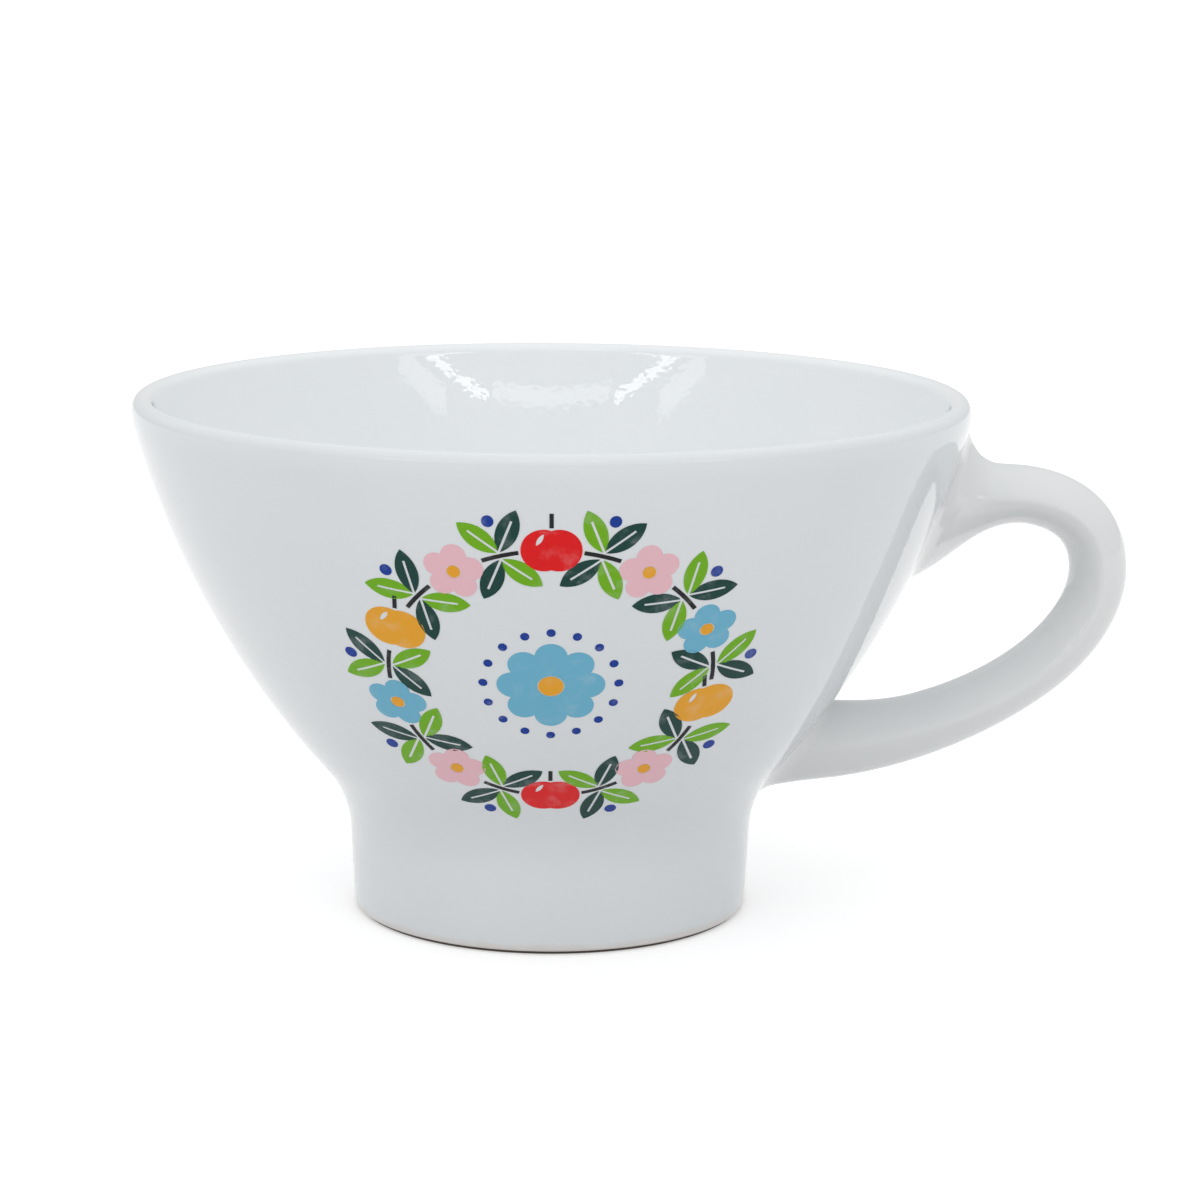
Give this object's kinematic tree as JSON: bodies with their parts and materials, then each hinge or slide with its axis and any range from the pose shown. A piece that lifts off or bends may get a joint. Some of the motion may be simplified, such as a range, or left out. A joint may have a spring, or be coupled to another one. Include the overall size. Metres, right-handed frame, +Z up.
{
  "type": "cider bowl",
  "caption": "Wide bowed ceramic drinking bowl on a tall hollow foot, with one ear-shaped strap handle, white glaze and a printed wreath of fruit and flowers.",
  "frame": {"origin": "on the bowl's axis, on the plane that the foot rests on", "axes": "+Z up along the bowl's axis, +X towards the handle, -Y towards the printed side"},
  "size_m": [0.1435, 0.12, 0.0754],
  "materials": {
    "clay": "unglazed biscuit-fired clay, fine grain",
    "slip": "fired slip, fine grain",
    "white_glaze": "glossy opaque white glaze",
    "enamel_black": "fired overglaze colour, glossy",
    "enamel_green": "fired overglaze colour, glossy",
    "enamel_teal": "fired overglaze colour, glossy",
    "enamel_red": "fired overglaze colour, glossy",
    "enamel_gold": "fired overglaze colour, glossy",
    "enamel_pink": "fired overglaze colour, glossy",
    "enamel_blue": "fired overglaze colour, glossy",
    "enamel_navy": "fired overglaze colour, glossy"
  },
  "bodies": {
    "root": {"bowl": "clay", "foot_ring": "clay", "handle": "clay", "foot_slip_joint": "slip", "upper_handle_slip": "slip", "lower_handle_slip": "slip", "inner_glaze": "white_glaze", "outer_glaze": "white_glaze", "handle_glaze": "white_glaze", "foot_hollow_glaze": "white_glaze", "print_black": "enamel_black", "print_green": "enamel_green", "print_teal": "enamel_teal", "print_red": "enamel_red", "print_gold": "enamel_gold", "print_pink": "enamel_pink", "print_blue": "enamel_blue", "print_navy": "enamel_navy"}
  },
  "joints": []
}
